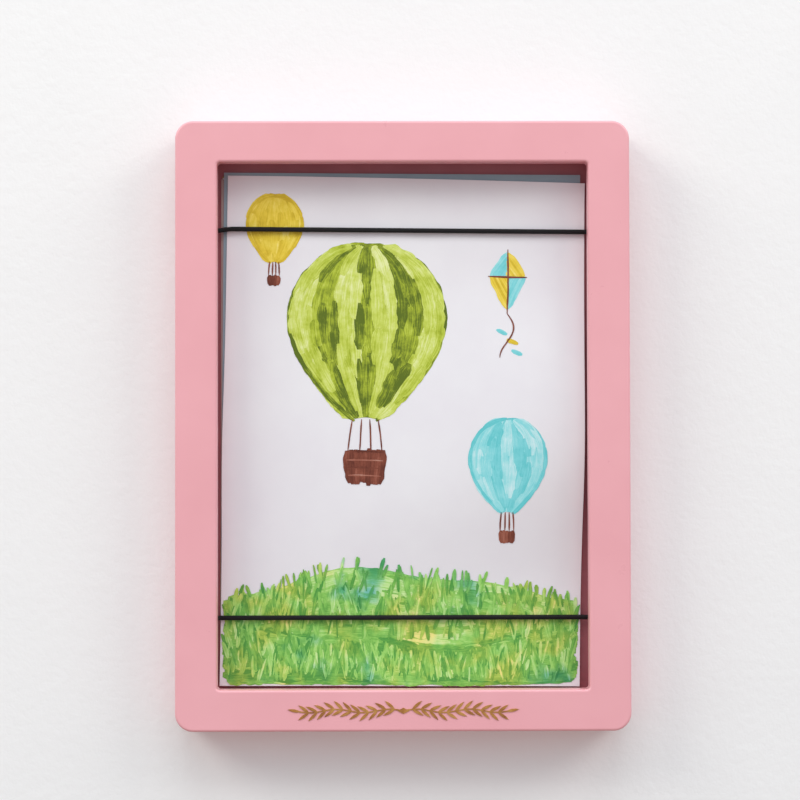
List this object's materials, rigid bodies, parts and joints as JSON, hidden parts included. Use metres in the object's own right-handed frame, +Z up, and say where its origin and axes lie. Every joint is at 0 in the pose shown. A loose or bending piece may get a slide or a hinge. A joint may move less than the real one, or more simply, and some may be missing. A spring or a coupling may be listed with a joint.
{
  "type": "art display frame",
  "caption": "Open-fronted rectangular picture frame with rounded corners: elastic cords hold A4 sheets in its recess, and keyhole hangers carry it on a wall.",
  "frame": {"origin": "where the screw in the wall carries the upper hanger: the top of its keyhole slot, on the plane of the wall", "axes": "+X to the right seen from the front, -Y out of the front, +Y into the wall, +Z up"},
  "size_m": [0.264, 0.0323, 0.354],
  "materials": {
    "pink_paint": "satin pink paint on board",
    "panel_board": "hardboard, painted pink in front",
    "black_elastic": "woven cover over a rubber core",
    "sleeve_brass": "crimped tube",
    "zinc_steel": "bright zinc plate",
    "white_paper": "matt uncoated",
    "blue_grey_paper": "matt, painted at its edges",
    "olive_paper": "matt coloured paper",
    "gold_trim": "thin gold-brown trim"
  },
  "bodies": {
    "frame": {"front_fascia": "pink_paint", "top_rail": "pink_paint", "bottom_rail": "pink_paint", "left_stile": "pink_paint", "right_stile": "pink_paint", "back_panel": "panel_board", "panel_screw_1": "zinc_steel", "panel_screw_2": "zinc_steel", "panel_screw_3": "zinc_steel", "panel_screw_4": "zinc_steel", "panel_screw_5": "zinc_steel", "panel_screw_6": "zinc_steel", "panel_screw_7": "zinc_steel", "panel_screw_8": "zinc_steel", "upper_left_sleeve": "sleeve_brass", "upper_right_sleeve": "sleeve_brass", "lower_left_sleeve": "sleeve_brass", "lower_right_sleeve": "sleeve_brass", "upright_hanger": "zinc_steel", "upright_hanger_screw_1": "zinc_steel", "upright_hanger_screw_2": "zinc_steel", "sideways_hanger": "zinc_steel", "sideways_hanger_screw_1": "zinc_steel", "sideways_hanger_screw_2": "zinc_steel", "leaf_scroll": "gold_trim"},
    "upper_cord": {"upper_elastic": "black_elastic"},
    "lower_cord": {"lower_elastic": "black_elastic"},
    "stored_4": {"stored_sheet_4": "olive_paper"},
    "stored_3": {"stored_sheet_3": "white_paper"},
    "stored_2": {"stored_sheet_2": "white_paper"},
    "stored_1": {"stored_sheet_1": "blue_grey_paper"},
    "artwork": {"artwork_sheet": "white_paper"}
  },
  "joints": [
    {"name": "upper_cord_pull", "type": "slide", "parent": "frame", "child": "upper_cord", "axis": [0, -1, 0], "range_m": [0, 0.04], "stiffness_N_per_m": 90, "deforming": ["upper_elastic"]},
    {"name": "lower_cord_pull", "type": "slide", "parent": "frame", "child": "lower_cord", "axis": [0, -1, 0], "range_m": [0, 0.04], "stiffness_N_per_m": 90, "deforming": ["lower_elastic"]},
    {"name": "stored_4_out", "type": "slide", "parent": "frame", "child": "stored_4", "axis": [0, -1, 0], "range_m": [0, 0.025]},
    {"name": "stored_3_out", "type": "slide", "parent": "stored_4", "child": "stored_3", "axis": [0, -1, 0], "range_m": [0, 0.025]},
    {"name": "stored_2_out", "type": "slide", "parent": "stored_3", "child": "stored_2", "axis": [0, -1, 0], "range_m": [0, 0.025]},
    {"name": "stored_1_out", "type": "slide", "parent": "stored_2", "child": "stored_1", "axis": [0, -1, 0], "range_m": [0, 0.025]},
    {"name": "artwork_out", "type": "slide", "parent": "stored_1", "child": "artwork", "axis": [0, -1, 0], "range_m": [0, 0.025]}
  ]
}
